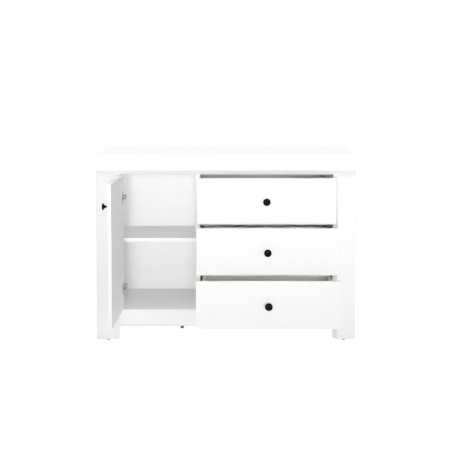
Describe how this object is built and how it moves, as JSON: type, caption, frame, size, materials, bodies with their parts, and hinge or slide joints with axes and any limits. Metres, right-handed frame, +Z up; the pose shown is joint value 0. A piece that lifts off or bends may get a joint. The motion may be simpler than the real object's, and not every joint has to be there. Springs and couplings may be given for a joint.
{
  "type": "sideboard buffet",
  "caption": "White high-gloss sideboard with a thick top and wide legs: a hinged door over a shelved cupboard beside a stack of drawers on telescopic slides, with round black knobs.",
  "frame": {"origin": "on the floor under the middle of the whole part's outline, with the door open and the drawers pulled out as stored", "axes": "+X to the right along the front, +Y from the front towards the wall, +Z up"},
  "size_m": [1.145, 0.7786, 0.832],
  "materials": {
    "gloss_white_front": "high-gloss white lacquer on MDF",
    "white_melamine": "satin white melamine on chipboard",
    "white_hardboard": "white foil on thin fibreboard",
    "white_profile": "extruded white PVC",
    "black_knob": "satin black, turned",
    "black_plastic": "moulded black plastic",
    "hinge_steel": "nickel-plated pressed steel",
    "slide_steel": "zinc-plated rolled steel",
    "zinc_fastener": "bright zinc plating",
    "beech_dowel": "fluted raw beech"
  },
  "bodies": {
    "cabinet": {"apron": "gloss_white_front", "back_joint_strip": "white_profile", "back_panel_lower": "white_hardboard", "back_panel_upper": "white_hardboard", "bottom_panel": "white_melamine", "cabinet_slide_rails": "slide_steel", "cam_fittings": "zinc_fastener", "carcass_screws": "zinc_fastener", "ceiling_panel": "white_melamine", "hinge_arms": "hinge_steel", "hinge_blocks": "white_melamine", "hinge_plate_screws": "zinc_fastener", "hinge_plates": "hinge_steel", "left_inner_wall": "white_melamine", "left_leg_front": "gloss_white_front", "leg_back_boards": "white_melamine", "leg_base_boards": "white_melamine", "leg_glides": "black_plastic", "partition": "white_melamine", "right_inner_wall": "white_melamine", "right_leg_front": "gloss_white_front", "shelf": "white_melamine", "shelf_pegs": "zinc_fastener", "side_panels": "gloss_white_front", "support_feet": "black_plastic", "top_back_rail": "white_melamine", "top_fascia": "gloss_white_front", "top_panel": "gloss_white_front", "top_side_strips": "gloss_white_front", "wood_dowels": "beech_dowel"},
    "door": {"door_panel": "gloss_white_front", "hinge_cups": "hinge_steel", "hinge_pins": "hinge_steel", "hinge_cup_screws": "zinc_fastener", "door_knob": "black_knob", "door_knob_screw": "zinc_fastener"},
    "drawer_bottom": {"drawer_bottom_back": "white_melamine", "drawer_bottom_floor": "white_hardboard", "drawer_bottom_front": "gloss_white_front", "drawer_bottom_knob": "black_knob", "drawer_bottom_knob_screw": "zinc_fastener", "drawer_bottom_rails": "slide_steel", "drawer_bottom_sides": "white_melamine"},
    "slides_bottom": {"slide_middle_rails_bottom": "slide_steel"},
    "drawer_middle": {"drawer_middle_back": "white_melamine", "drawer_middle_floor": "white_hardboard", "drawer_middle_front": "gloss_white_front", "drawer_middle_knob": "black_knob", "drawer_middle_knob_screw": "zinc_fastener", "drawer_middle_rails": "slide_steel", "drawer_middle_sides": "white_melamine"},
    "slides_middle": {"slide_middle_rails_middle": "slide_steel"},
    "drawer_top": {"drawer_top_back": "white_melamine", "drawer_top_floor": "white_hardboard", "drawer_top_front": "gloss_white_front", "drawer_top_knob": "black_knob", "drawer_top_knob_screw": "zinc_fastener", "drawer_top_rails": "slide_steel", "drawer_top_sides": "white_melamine"},
    "slides_top": {"slide_middle_rails_top": "slide_steel"}
  },
  "joints": [
    {"name": "door_hinge", "type": "hinge", "parent": "cabinet", "child": "door", "pos_m": [-0.461, -0.02075, 0.442], "axis": [0, 0, -1], "range_deg": [-92, 13]},
    {"name": "drawer_bottom_slide", "type": "slide", "parent": "cabinet", "child": "drawer_bottom", "axis": [0, -1, 0], "range_m": [-0.33, 0.02]},
    {"name": "slides_bottom_travel", "type": "slide", "parent": "cabinet", "child": "slides_bottom", "axis": [0, -1, 0], "range_m": [-0.165, 0.01]},
    {"name": "drawer_middle_slide", "type": "slide", "parent": "cabinet", "child": "drawer_middle", "axis": [0, -1, 0], "range_m": [-0.222, 0.128]},
    {"name": "slides_middle_travel", "type": "slide", "parent": "cabinet", "child": "slides_middle", "axis": [0, -1, 0], "range_m": [-0.111, 0.064]},
    {"name": "drawer_top_slide", "type": "slide", "parent": "cabinet", "child": "drawer_top", "axis": [0, -1, 0], "range_m": [-0.122, 0.228]},
    {"name": "slides_top_travel", "type": "slide", "parent": "cabinet", "child": "slides_top", "axis": [0, -1, 0], "range_m": [-0.061, 0.114]}
  ],
  "couplings": [
    {"joint": "slides_bottom_travel", "follows": "drawer_bottom_slide", "ratio": 0.5},
    {"joint": "slides_middle_travel", "follows": "drawer_middle_slide", "ratio": 0.5},
    {"joint": "slides_top_travel", "follows": "drawer_top_slide", "ratio": 0.5}
  ]
}
